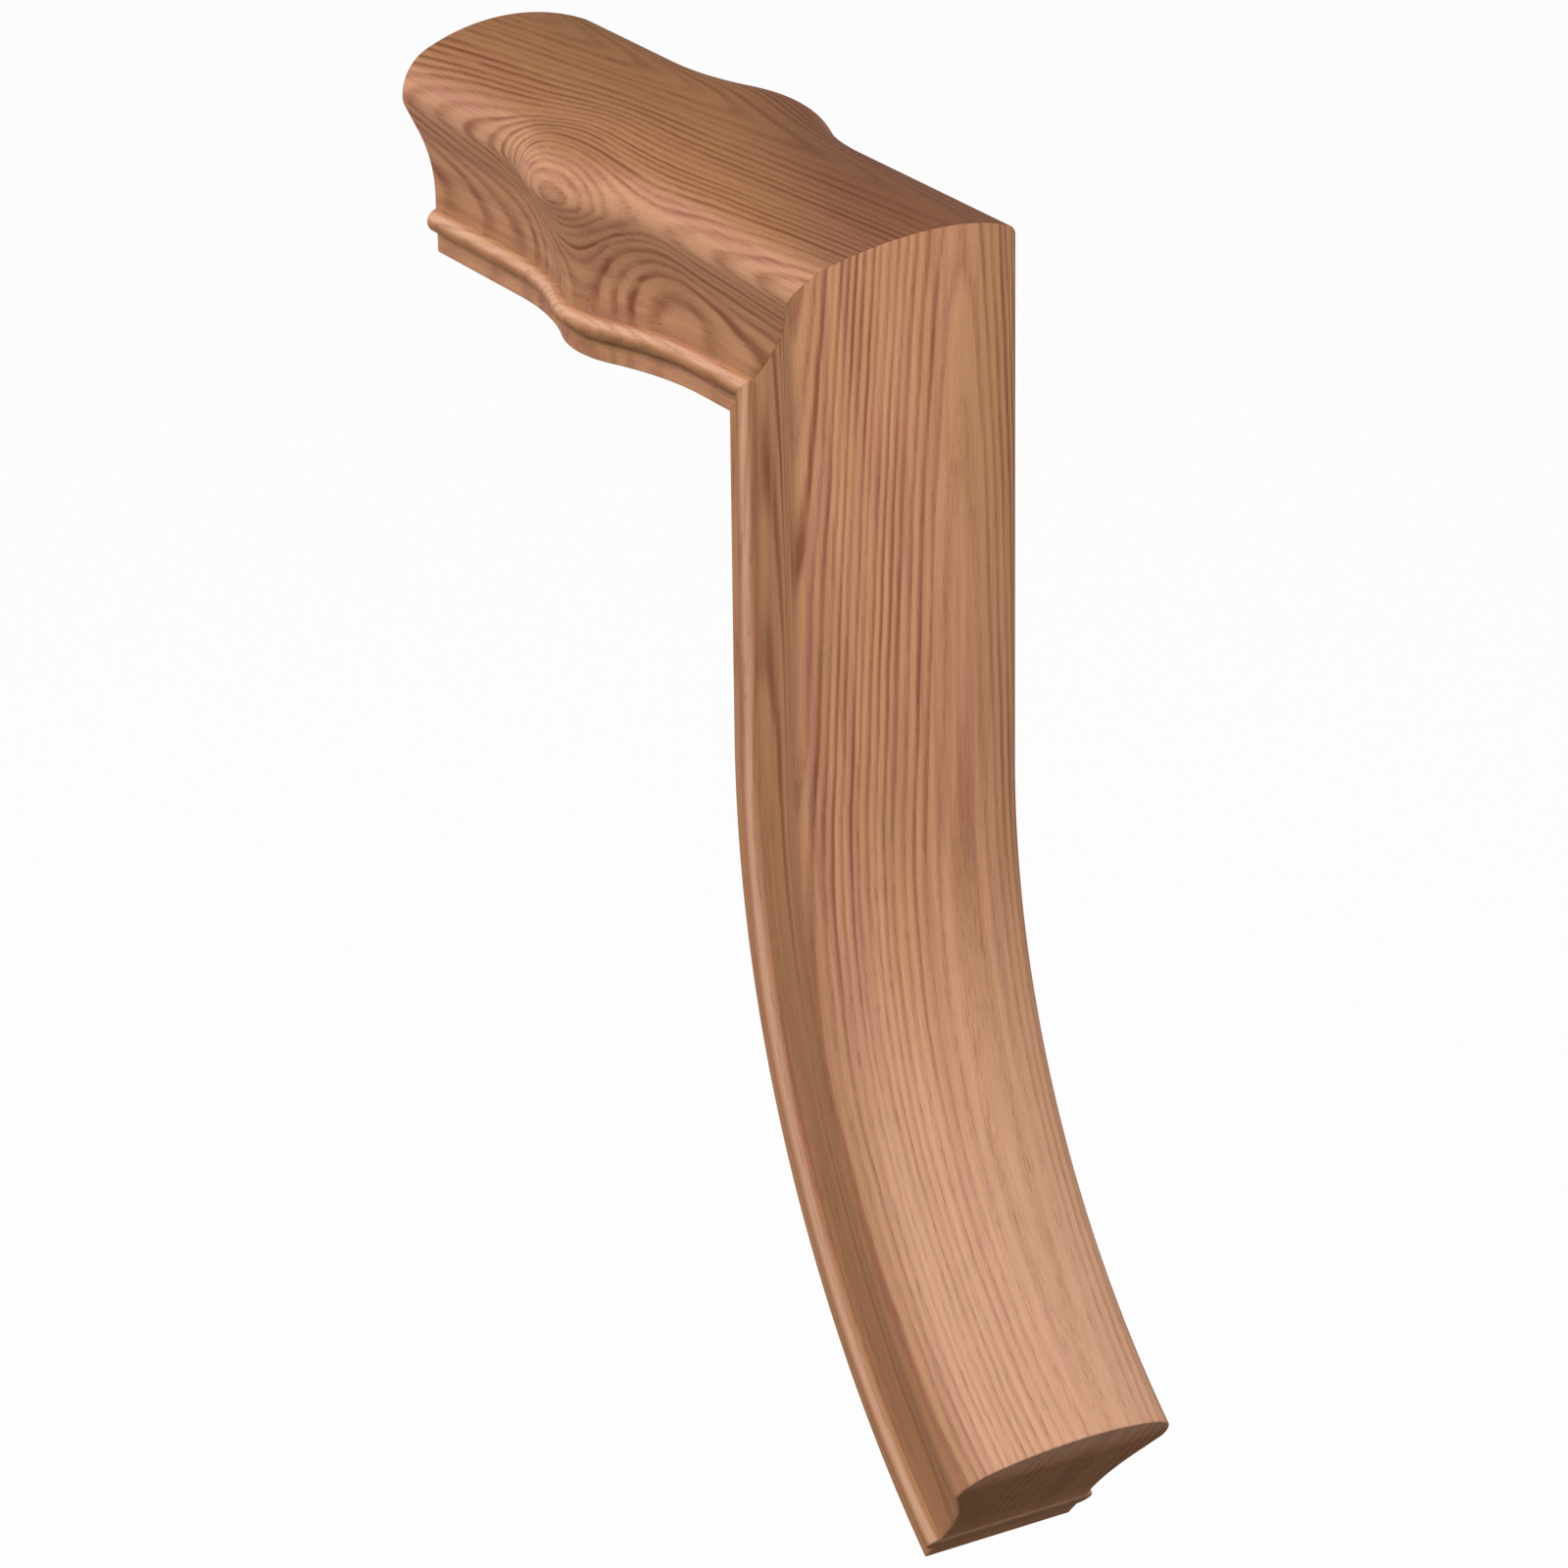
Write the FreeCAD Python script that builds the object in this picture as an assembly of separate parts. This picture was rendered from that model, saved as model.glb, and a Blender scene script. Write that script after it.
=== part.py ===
import FreeCAD, Part
import math
import os

# Handrail gooseneck with a newel cap, in millimetres.
# A level length of moulded rail swells into a round cap over the newel post, turns down
# through a glued and dowelled 45 degree mitre, and eases from the drop into the stair's rake.
# +X runs along the level rail towards the drop, +Z is up, and the origin is the middle of
# the newel pin bore's mouth on the cap's flat underside.

# Rail section, the same all along the fitting
RAIL_WIDTH = 66.7        # across the shoulders, the widest line
RAIL_HEIGHT = 65.2       # crown to flat base
CROWN_RADIUS = 62.0      # rounded top
SHOULDER_RADIUS = 13.7   # upper round of each shoulder
UNDER_RADIUS = 5.8       # lower round of each shoulder
SLOPE_RUN = 9.2          # straight slope between the shoulder and the cove
NECK_INSET = 9.6         # from the widest line in to the neck
NECK_RUN = 3.3           # straight neck between the cove and the bead
BEAD_RADIUS = 3.4
BEAD_PROUD = 2.9         # bead's face beyond the neck
BEAD_HEIGHT = 9.5        # bead's middle above the base
BASE_SETBACK = 3.2       # from the bead's face in to the base's side

# Plan of the level rail
CAP_SWELL = 9.8          # newel cap beyond each side of the rail
HOLLOW_RADIUS = 78.2     # concave curves that lead from the rail into the cap
END_RUN = 46.1           # straight rail from the cap's curves to the square end
MITRE_RUN = 14.3         # straight base from the cap's curves to the mitre

# Drop and easing
DROP_RUN = 93.3          # straight drop below the level rail's base
EASING_RADIUS = 213.0    # of the crown line
RAKE_ANGLE = 41.65       # slope of the stair at the lower end, in degrees

# Blind hole for the pin on the newel post
PIN_BORE_DIAMETER = 19.05
PIN_BORE_DEPTH = 25.4

# Fluted dowels across the mitre
DOWEL_DIAMETER = 9.5
DOWEL_LENGTH = 50.8
DOWEL_SPACING = 26.0     # between the two dowels' middles
DOWEL_BELOW_CROWN = 34.0
FLUTE_COUNT = 10
FLUTE_WIDTH = 1.0
FLUTE_DEPTH = 0.5
GLUE_CLEARANCE = 0.1     # round each dowel
HOLE_END_ROOM = 1.0      # spare depth past each dowel's end

# Sizes of the section that follow: out from the middle plane, and down from the crown
HALF_WIDTH = RAIL_WIDTH / 2
SHOULDER_OUT = HALF_WIDTH - SHOULDER_RADIUS
CROWN_TURN = math.asin(SHOULDER_OUT / (CROWN_RADIUS - SHOULDER_RADIUS))
SHOULDER_DOWN = CROWN_RADIUS - (CROWN_RADIUS - SHOULDER_RADIUS) * math.cos(CROWN_TURN)
NECK_OUT = HALF_WIDTH - NECK_INSET
BEAD_OUT = NECK_OUT + BEAD_PROUD - BEAD_RADIUS
BEAD_DOWN = RAIL_HEIGHT - BEAD_HEIGHT
BEAD_TOP = BEAD_DOWN - math.sqrt(BEAD_RADIUS**2 - (NECK_OUT - BEAD_OUT) ** 2)
BASE_OUT = NECK_OUT + BEAD_PROUD - BASE_SETBACK
BEAD_FOOT = BEAD_DOWN + math.sqrt(BEAD_RADIUS**2 - (BASE_OUT - BEAD_OUT) ** 2)
COVE_DOWN = BEAD_TOP - NECK_RUN
OGEE_HEIGHT = COVE_DOWN - SHOULDER_DOWN
SLOPE_LEAN = 2 * math.atan(NECK_INSET / (OGEE_HEIGHT + SLOPE_RUN))
OGEE_RADII = (OGEE_HEIGHT - SLOPE_RUN * math.cos(SLOPE_LEAN)) / math.sin(SLOPE_LEAN)
COVE_RADIUS = OGEE_RADII - UNDER_RADIUS
QUARTER = math.pi / 2

# Places along the fitting that follow
CAP_RADIUS = HALF_WIDTH + CAP_SWELL
HOLLOW_OUT = HALF_WIDTH + HOLLOW_RADIUS
HOLLOW_ALONG = math.sqrt((CAP_RADIUS + HOLLOW_RADIUS) ** 2 - HOLLOW_OUT**2)
HOLLOW_TURN = math.degrees(math.atan2(HOLLOW_ALONG, HOLLOW_OUT))
RAIL_END = -HOLLOW_ALONG - END_RUN
DROP_BACK = HOLLOW_ALONG + MITRE_RUN
DROP_CROWN = DROP_BACK + RAIL_HEIGHT
EASING_TURN = 90 - RAKE_ANGLE
MITRE_ANGLE = 45
WASTE = 4 * (RAIL_WIDTH + RAIL_HEIGHT)

UP = FreeCAD.Vector(0, 0, 1)
ALONG = FreeCAD.Vector(1, 0, 0)
ACROSS = FreeCAD.Vector(0, 1, 0)


def arc(out, down, radius, start, end):
    """Three points of a section arc about (out, down), with turns counted from straight up to outwards."""
    turns = (start, (start + end) / 2, end)
    return [(out + radius * math.sin(turn), down - radius * math.cos(turn)) for turn in turns]


def half_outline():
    """Half of the section, from the crown's middle round to the middle of the base."""
    crown = arc(0, CROWN_RADIUS, CROWN_RADIUS, 0, CROWN_TURN)
    shoulder = arc(SHOULDER_OUT, SHOULDER_DOWN, SHOULDER_RADIUS, CROWN_TURN, QUARTER)
    under = arc(HALF_WIDTH - UNDER_RADIUS, SHOULDER_DOWN, UNDER_RADIUS, QUARTER, QUARTER + SLOPE_LEAN)
    cove = arc(NECK_OUT + COVE_RADIUS, COVE_DOWN, COVE_RADIUS, SLOPE_LEAN - QUARTER, -QUARTER)
    slope = [under[-1], cove[0]]
    neck = [cove[-1], (NECK_OUT, BEAD_TOP)]
    bead = [neck[-1], (BEAD_OUT + BEAD_RADIUS, BEAD_DOWN), (BASE_OUT, BEAD_FOOT)]
    side = [bead[-1], (BASE_OUT, RAIL_HEIGHT)]
    base = [side[-1], (0, RAIL_HEIGHT)]
    return [crown, shoulder, under, slope, cove, neck, bead, side, base]


def section_face(curves, place):
    """A face of the section, whose points (out, down) go where place puts them."""
    edges = []
    for curve in curves:
        points = [place(out, down) for out, down in curve]
        edge = Part.Arc(*points) if len(points) == 3 else Part.LineSegment(*points)
        edges.append(edge.toShape())
    return Part.Face(Part.Wire(Part.__sortEdges__(edges)))


def whole_section(place):
    """The full section, with one arc over the crown and one line under the base."""
    crown, *rest, base = half_outline()
    outside = [[(-out, down) for out, down in curve] for curve in rest]
    top = [(-crown[-1][0], crown[-1][1]), crown[0], crown[-1]]
    bottom = [base[0], (-base[0][0], base[0][1])]
    return section_face([top, *rest, *outside, bottom], place)


def half_section(place):
    """One half of the section, closed along the middle plane."""
    curves = half_outline()
    return section_face([*curves, [curves[-1][-1], curves[0][0]]], place)


def level_place(x):
    """Puts the section upright across the level rail at x."""
    return lambda out, down: FreeCAD.Vector(x, out, RAIL_HEIGHT - down)


def drop_place(z):
    """Puts the section level across the drop at z, with its crown towards +X."""
    return lambda out, down: FreeCAD.Vector(DROP_CROWN - down, out, z)


def mitre_waste(side):
    """A block with one face on the mitre plane: side 1 is the drop's side of it, -1 the level rail's."""
    start = 0 if side > 0 else -WASTE
    block = Part.makeBox(WASTE, WASTE, WASTE, FreeCAD.Vector(start, -WASTE / 2, -WASTE / 2))
    block.rotate(FreeCAD.Vector(), ACROSS, MITRE_ANGLE)
    block.translate(FreeCAD.Vector(DROP_BACK, 0, 0))
    return block


def cap_swelling():
    """The swollen stretch: the half section carried round the hollows and the cap, about a flat core."""
    hollow_middle = FreeCAD.Vector(-HOLLOW_ALONG, HOLLOW_OUT, 0)
    outwards = FreeCAD.Vector(hollow_middle).normalize()
    hollow = half_section(level_place(-HOLLOW_ALONG)).revolve(hollow_middle, UP, HOLLOW_TURN)

    def cap_place(out, down):
        return outwards * (out + CAP_SWELL) + UP * (RAIL_HEIGHT - down)

    cap = half_section(cap_place).revolve(FreeCAD.Vector(), UP, -2 * HOLLOW_TURN)
    half = hollow.multiFuse([cap, hollow.mirror(FreeCAD.Vector(), ALONG), flat_core(hollow_middle, outwards)])
    return half.fuse(half.mirror(FreeCAD.Vector(), ACROSS))


def flat_core(hollow_middle, outwards):
    """The middle of the cap on one side, inside the carried section, flat on top."""
    start = FreeCAD.Vector(-HOLLOW_ALONG, 0, 0)
    meet = outwards * CAP_SWELL
    turn = FreeCAD.Rotation(UP, HOLLOW_TURN / 2)
    bend = hollow_middle + turn.multVec(start - hollow_middle)
    flip = FreeCAD.Matrix()
    flip.scale(-1, 1, 1)
    edges = [
        Part.Arc(start, bend, meet),
        Part.Arc(meet, ACROSS * CAP_SWELL, flip * meet),
        Part.Arc(flip * meet, flip * bend, flip * start),
        Part.LineSegment(flip * start, start),
    ]
    return Part.Face(Part.Wire([edge.toShape() for edge in edges])).extrude(UP * RAIL_HEIGHT)


def dowel_places():
    """The two points on the mitre plane that the dowels are centred on."""
    x = DROP_CROWN - DOWEL_BELOW_CROWN
    z = RAIL_HEIGHT - DOWEL_BELOW_CROWN
    return [FreeCAD.Vector(x, side * DOWEL_SPACING / 2, z) for side in (-1, 1)]


def across_mitre(shape, place):
    """Turns a shape that is centred along Z square to the mitre plane, and moves it to place."""
    shape.rotate(FreeCAD.Vector(), ACROSS, 90 + MITRE_ANGLE)
    shape.translate(place)
    return shape


def dowel_holes():
    """Holes for both dowels, with room for glue round them and at their ends."""
    radius = DOWEL_DIAMETER / 2 + GLUE_CLEARANCE
    length = DOWEL_LENGTH + 2 * HOLE_END_ROOM
    return [across_mitre(Part.makeCylinder(radius, length, UP * (-length / 2)), place) for place in dowel_places()]


def cap_rail():
    """The level rail with its newel cap, mitred, bored for the newel's pin and for the dowels."""
    end = whole_section(level_place(RAIL_END)).extrude(ALONG * END_RUN)
    front = whole_section(level_place(HOLLOW_ALONG)).extrude(ALONG * (DROP_CROWN - HOLLOW_ALONG))
    rail = cap_swelling().multiFuse([end, front.cut(mitre_waste(1))]).removeSplitter()
    pin_bore = Part.makeCylinder(PIN_BORE_DIAMETER / 2, PIN_BORE_DEPTH)
    return rail.cut([pin_bore, *dowel_holes()])


def drop_easing():
    """The drop and the easing that follows it, mitred at the top and cut square to the rake."""
    start = whole_section(drop_place(-DROP_RUN))
    drop = start.extrude(UP * (DROP_RUN + RAIL_HEIGHT)).cut(mitre_waste(-1))
    easing_middle = FreeCAD.Vector(DROP_CROWN + EASING_RADIUS, 0, -DROP_RUN)
    easing = start.revolve(easing_middle, ACROSS, -EASING_TURN)
    return drop.fuse(easing).removeSplitter().cut(dowel_holes())


def dowel():
    """One dowel pin along Z, with straight V flutes all along it that let the glue past."""
    radius = DOWEL_DIAMETER / 2
    foot = UP * (-DOWEL_LENGTH / 2)
    pin = Part.makeCylinder(radius, DOWEL_LENGTH, foot)
    root = ALONG * (radius - FLUTE_DEPTH) + foot
    rise = ALONG * (2 * FLUTE_DEPTH) + ACROSS * FLUTE_WIDTH
    fall = ALONG * (2 * FLUTE_DEPTH) - ACROSS * FLUTE_WIDTH
    groove = Part.Face(Part.makePolygon([root, root + rise, root + fall, root])).extrude(UP * DOWEL_LENGTH)
    flutes = []
    for count in range(FLUTE_COUNT):
        flute = groove.copy()
        flute.rotate(FreeCAD.Vector(), UP, 360 * count / FLUTE_COUNT)
        flutes.append(flute)
    return pin.cut(flutes)


def mitre_dowels():
    """Both dowels, in their holes."""
    return Part.makeCompound([across_mitre(dowel(), place) for place in dowel_places()])


os.makedirs("parts", exist_ok=True)
cap_rail().exportStep("parts/cap_rail.step")
drop_easing().exportStep("parts/drop_easing.step")
mitre_dowels().exportStep("parts/mitre_dowels.step")
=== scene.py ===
import math
import bpy
import numpy as np
from mathutils import Matrix, Vector


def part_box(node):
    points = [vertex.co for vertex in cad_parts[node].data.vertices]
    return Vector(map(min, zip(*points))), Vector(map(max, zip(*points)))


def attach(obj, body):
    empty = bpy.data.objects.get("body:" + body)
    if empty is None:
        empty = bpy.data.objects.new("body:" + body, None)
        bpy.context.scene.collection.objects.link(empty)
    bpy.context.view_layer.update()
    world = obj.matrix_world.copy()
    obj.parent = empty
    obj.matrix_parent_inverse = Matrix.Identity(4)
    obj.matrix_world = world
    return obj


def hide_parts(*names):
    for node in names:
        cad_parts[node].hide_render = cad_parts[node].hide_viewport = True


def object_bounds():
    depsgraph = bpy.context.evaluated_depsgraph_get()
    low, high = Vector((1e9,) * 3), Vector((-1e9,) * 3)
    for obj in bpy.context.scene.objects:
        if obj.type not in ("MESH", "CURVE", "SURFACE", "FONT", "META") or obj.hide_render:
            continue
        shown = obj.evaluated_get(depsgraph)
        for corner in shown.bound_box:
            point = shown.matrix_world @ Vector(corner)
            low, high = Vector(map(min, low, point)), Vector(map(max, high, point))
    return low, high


# A moulded handrail gooseneck in red oak, worked out in millimetres and written to its meshes in metres.
# A level rail with a round newel cap is dowelled and mitred to a drop that eases into the stair's rake.
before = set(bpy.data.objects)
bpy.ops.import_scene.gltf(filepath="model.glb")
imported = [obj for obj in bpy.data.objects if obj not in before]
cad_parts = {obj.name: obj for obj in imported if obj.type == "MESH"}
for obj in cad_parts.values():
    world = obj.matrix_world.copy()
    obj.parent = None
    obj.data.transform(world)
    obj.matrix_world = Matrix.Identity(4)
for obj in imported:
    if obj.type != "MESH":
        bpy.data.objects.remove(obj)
cad_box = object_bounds()

# Mitre dowels
# Two fluted beech pins, bought as cut dowel stock, that hold the glued mitre from inside.
# They are out of sight in their holes, so their own solids stay and only get their wood.
BEECH_PALE = (0.604, 0.376, 0.202)
BEECH_DEEP = (0.445, 0.246, 0.118)
BEECH_FLECK = (0.300, 0.140, 0.060)
BEECH_ROUGHNESS = 0.55
BEECH_RELIEF = 0.0001    # metres
FLECK_SHARE = 0.6
PIN_LEAN = math.radians(45)
# Lumps to a metre in the two directions across the pin and along it, and the noise at their edges
BAND_STRETCH = (900.0, 900.0, 25.0)
FLECK_STRETCH = (2600.0, 2600.0, 260.0)
BAND_EDGE = (0.35, 0.65)
FLECK_EDGE = (0.62, 0.72)


def node(tree, kind, settings, inputs):
    """Adds a shader node: settings are its options, inputs are numbers, colours or other nodes' sockets."""
    made = tree.nodes.new("ShaderNode" + kind)
    for option, value in settings.items():
        setattr(made, option, value)
    for socket, value in inputs.items():
        if isinstance(value, bpy.types.NodeSocket):
            tree.links.new(value, made.inputs[socket])
        else:
            made.inputs[socket].default_value = value
    return made


def stretch(tree, vector, scale, shift=(0.0, 0.0, 0.0)):
    """Scales a place along its three directions, then shifts it."""
    return node(tree, "Mapping", {}, {"Vector": vector, "Scale": scale, "Location": shift}).outputs[0]


def cloud(tree, vector, detail, roughness=0.5):
    """Smooth noise round 0.5, one lump to each unit of the place it is given."""
    inputs = {"Vector": vector, "Scale": 1.0, "Detail": detail, "Roughness": roughness}
    return node(tree, "TexNoise", {}, inputs).outputs[0]


def ramp(tree, factor, low, high, start=0.0, end=1.0):
    """Goes smoothly from start to end while the factor goes from low to high."""
    inputs = {"Value": factor, 1: low, 2: high, 3: start, 4: end}
    return node(tree, "MapRange", {"interpolation_type": "SMOOTHSTEP"}, inputs).outputs[0]


def blend(tree, factor, under, over, kind="MIX"):
    """Lays one colour over another by a factor, or stains the lower one with it when kind is MULTIPLY."""
    inputs = {0: factor, 6: under, 7: over}
    return node(tree, "Mix", {"data_type": "RGBA", "blend_type": kind}, inputs).outputs[2]


def opaque(colour):
    """A colour as a shader socket takes it."""
    return (*colour, 1.0)


def bare_material(name):
    """A new material and its node tree, with no node in it."""
    material = bpy.data.materials.new(name)
    material.use_nodes = True
    material.node_tree.nodes.clear()
    return material, material.node_tree


def dowel_beech():
    """Pale beech: long soft bands and short dark flecks along the pin, which leans square to the mitre."""
    material, tree = bare_material("dowel_beech")
    place = node(tree, "TexCoord", {}, {}).outputs["Object"]
    turned = node(tree, "Mapping", {}, {"Vector": place, "Rotation": (0.0, PIN_LEAN, 0.0)}).outputs[0]
    bands = cloud(tree, stretch(tree, turned, BAND_STRETCH), detail=3.0)
    flecks = cloud(tree, stretch(tree, turned, FLECK_STRETCH), detail=1.0)
    wood = blend(tree, ramp(tree, bands, *BAND_EDGE), opaque(BEECH_PALE), opaque(BEECH_DEEP))
    wood = blend(tree, ramp(tree, flecks, *FLECK_EDGE, end=FLECK_SHARE), wood, opaque(BEECH_FLECK))
    relief = node(tree, "Bump", {}, {"Strength": 0.3, "Distance": BEECH_RELIEF, "Height": bands}).outputs[0]
    inputs = {"Base Color": wood, "Roughness": BEECH_ROUGHNESS, "Normal": relief}
    surface = node(tree, "BsdfPrincipled", {}, inputs).outputs[0]
    node(tree, "OutputMaterial", {}, {"Surface": surface})
    return material


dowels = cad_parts["mitre_dowels"]
beech = dowel_beech()
for slot in dowels.material_slots:
    slot.material = beech

# Cap rail
# The level length of rail, moulded from one billet of red oak along its grain and swollen into a
# round cap over the newel, bored from below for the newel's pin and mitred for the drop.

# The first five lengths come from the boxes of the CAD pieces, and the others are the moulding's own
MM_PER_METRE = 1000
cap_low, cap_high = (MM_PER_METRE * np.array(corner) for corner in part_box("cap_rail"))
RAIL_END = cap_low[0]
DROP_CROWN = cap_high[0]
CAP_RADIUS = cap_high[1]
RAIL_HEIGHT = cap_high[2]
HALF_WIDTH = MM_PER_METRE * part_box("drop_easing")[1][1]
CROWN_RADIUS = 62.0
SHOULDER_RADIUS = 13.7
UNDER_RADIUS = 5.8
SLOPE_RUN = 9.2
NECK_INSET = 9.6
NECK_RUN = 3.3
BEAD_RADIUS = 3.4
BEAD_PROUD = 2.9
BEAD_HEIGHT = 9.5
BASE_SETBACK = 3.2
HOLLOW_RADIUS = 78.2
PIN_BORE_RADIUS = 9.525
PIN_BORE_DEPTH = 25.4
MOUTH_BEVEL = 0.5        # round the mouth of the pin bore
BASE_ARRIS = 0.5         # sanded edge along the base
END_ARRIS = 0.4          # sanded edge round the sawn ends
GLUE_LINE = 0.10         # easing of the two edges that meet in the mitre

# What follows from these, as places out from the section's middle and down from its crown, and in plan
SHOULDER_OUT = HALF_WIDTH - SHOULDER_RADIUS
CROWN_TURN = math.asin(SHOULDER_OUT / (CROWN_RADIUS - SHOULDER_RADIUS))
SHOULDER_DOWN = CROWN_RADIUS - (CROWN_RADIUS - SHOULDER_RADIUS) * math.cos(CROWN_TURN)
NECK_OUT = HALF_WIDTH - NECK_INSET
BEAD_OUT = NECK_OUT + BEAD_PROUD - BEAD_RADIUS
BEAD_DOWN = RAIL_HEIGHT - BEAD_HEIGHT
BASE_OUT = NECK_OUT + BEAD_PROUD - BASE_SETBACK
BEAD_START = math.asin((NECK_OUT - BEAD_OUT) / BEAD_RADIUS)
BEAD_END = math.pi - math.asin((BASE_OUT - BEAD_OUT) / BEAD_RADIUS)
COVE_DOWN = BEAD_DOWN - BEAD_RADIUS * math.cos(BEAD_START) - NECK_RUN
OGEE_HEIGHT = COVE_DOWN - SHOULDER_DOWN
SLOPE_LEAN = 2 * math.atan(NECK_INSET / (OGEE_HEIGHT + SLOPE_RUN))
COVE_RADIUS = (OGEE_HEIGHT - SLOPE_RUN * math.cos(SLOPE_LEAN)) / math.sin(SLOPE_LEAN) - UNDER_RADIUS
HOLLOW_OUT = HALF_WIDTH + HOLLOW_RADIUS
HOLLOW_ALONG = math.sqrt((CAP_RADIUS + HOLLOW_RADIUS) ** 2 - HOLLOW_OUT**2)
HOLLOW_TURN = math.atan2(HOLLOW_ALONG, HOLLOW_OUT)
DROP_BACK = DROP_CROWN - RAIL_HEIGHT
QUARTER = math.pi / 2

# How finely the level rail's mesh is cut, as stations along it and steps across
STRAIGHT_STATIONS = 26
HOLLOW_STATIONS = 25
CAP_STATIONS = 6
MITRE_STATIONS = 50
CROWN_STEPS = 61         # odd, so that no point lies on the middle plane
BASE_STEPS = 8           # from the bore's square out to the side
BORE_PATCH = 11.0        # half the side of the square where the base's grid gives way to the bore's rings
BORE_STEPS = 25          # across that square, odd too
MOUTH_RINGS = 4
WALL_RINGS = 14
BOTTOM_RINGS = 4
BOTTOM_REACH = (0.8, 0.2)    # of the bore's radius, from the bottom's first ring to its last
SHARP_ANGLE = math.radians(32)

# How much of a cut across the grain each kind of face is, and places on the bake sheet in millimetres
LONG_GRAIN = 0.0
BORE_GRAIN = 0.2
MITRE_GRAIN = 0.7
END_GRAIN = 1.0
SHEET_EDGE = 4.0         # clear strip between the layouts
MITRE_ROW = 72.0
BORE_ROW = 172.0
WALL_ROW = 200.0
BOTTOM_COLUMN = 30.0
MIDDLE_COLUMN = 52.0


def arc(out, down, radius, start, end, steps):
    """Points of a section arc about (out, down), with turns counted from straight up to outwards:
    out + radius sin(turn), down - radius cos(turn)."""
    turn = np.linspace(start, end, steps + 1)
    return np.stack([out + radius * np.sin(turn), down - radius * np.cos(turn)], axis=1)


def line(start, end, steps):
    """Points spaced evenly along a straight stretch of the section, without its two ends."""
    share = np.linspace(0, 1, steps + 1)[1:-1, None]
    return np.array(start) * (1 - share) + np.array(end) * share


def side_outline():
    """One side of the section as (out, down), from the base's edge up to where the shoulder meets the
    crown: base arris, bead, neck, cove, slope, under round and shoulder, each an arc or a line that runs
    into the next."""
    under_out = HALF_WIDTH - UNDER_RADIUS
    cove_out = NECK_OUT + COVE_RADIUS
    arris_down = RAIL_HEIGHT - BASE_ARRIS
    shoulder = arc(SHOULDER_OUT, SHOULDER_DOWN, SHOULDER_RADIUS, QUARTER, CROWN_TURN, steps=18)
    under = arc(under_out, SHOULDER_DOWN, UNDER_RADIUS, QUARTER + SLOPE_LEAN, QUARTER, steps=8)
    cove = arc(cove_out, COVE_DOWN, COVE_RADIUS, -QUARTER, SLOPE_LEAN - QUARTER, steps=16)
    bead = arc(BEAD_OUT, BEAD_DOWN, BEAD_RADIUS, BEAD_END, BEAD_START, steps=22)
    arris = arc(BASE_OUT - BASE_ARRIS, arris_down, BASE_ARRIS, 2 * QUARTER, QUARTER, steps=4)
    side = line(arris[-1], bead[0], steps=4)
    neck = line(bead[-1], cove[0], steps=3)
    slope = line(cove[-1], under[0], steps=5)
    return np.concatenate([arris, side, bead, neck, cove, slope, under, shoulder[1:]])


def spread(edge, steps):
    """Half of an odd number of even steps across, from near the middle out to the edge."""
    return edge * (2 * np.arange((steps + 1) // 2) + 1) / steps


def cap_plan():
    """The plan outline on one side, station by station, as its points and its inward normals
    (sin t, -cos t): straight rail, hollow, cap, hollow and the start of the straight before the mitre. The
    cap's middle stations are spaced so that the base's grid is even over the pin bore."""
    base_reach = CAP_RADIUS - HALF_WIDTH + BASE_OUT - BASE_ARRIS
    patch_turn = np.arcsin(np.linspace(BORE_PATCH, -BORE_PATCH, BORE_STEPS + 1) / base_reach)
    straight = np.linspace(RAIL_END, -HOLLOW_ALONG, STRAIGHT_STATIONS)
    straight[0] += END_ARRIS
    hollow = np.linspace(0, HOLLOW_TURN, HOLLOW_STATIONS)[1:]
    cap_start = np.linspace(HOLLOW_TURN, patch_turn[0], CAP_STATIONS)[1:-1]
    near_half = [0 * straight, hollow, cap_start]
    turn = np.concatenate([*near_half, patch_turn, -cap_start[::-1], -hollow[::-1], [0.0]])
    normal = np.stack([np.sin(turn), -np.cos(turn)], axis=1)
    points = -CAP_RADIUS * normal
    first, last = len(straight), len(straight) + len(hollow)
    far = -len(hollow) - 1
    points[:first] = np.stack([straight, 0 * straight + HALF_WIDTH], axis=1)
    points[first:last] = (-HOLLOW_ALONG, HOLLOW_OUT) + HOLLOW_RADIUS * normal[first:last]
    points[far:] = (HOLLOW_ALONG, HOLLOW_OUT) + HOLLOW_RADIUS * normal[far:]
    return points, normal


def crown_depth(x, y):
    """Depth of the crowned top below its highest line: R - root(R squared - out squared), where R is the
    crown's radius. Out is half the rail's width less the distance in from the plan outline, and 0 in the
    flat core that lies further in than that half width."""
    along, across = np.abs(x), np.abs(y)
    to_hollow = np.hypot(along - HOLLOW_ALONG, across - HOLLOW_OUT) - HOLLOW_RADIUS
    to_cap = CAP_RADIUS - np.hypot(x, y)
    in_cap = along * HOLLOW_OUT < across * HOLLOW_ALONG
    inset = np.where(along > HOLLOW_ALONG, HALF_WIDTH - across, np.where(in_cap, to_cap, to_hollow))
    out = np.clip(HALF_WIDTH - inset, 0, SHOULDER_OUT + SHOULDER_RADIUS)
    return CROWN_RADIUS - np.sqrt(CROWN_RADIUS**2 - out**2)


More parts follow.
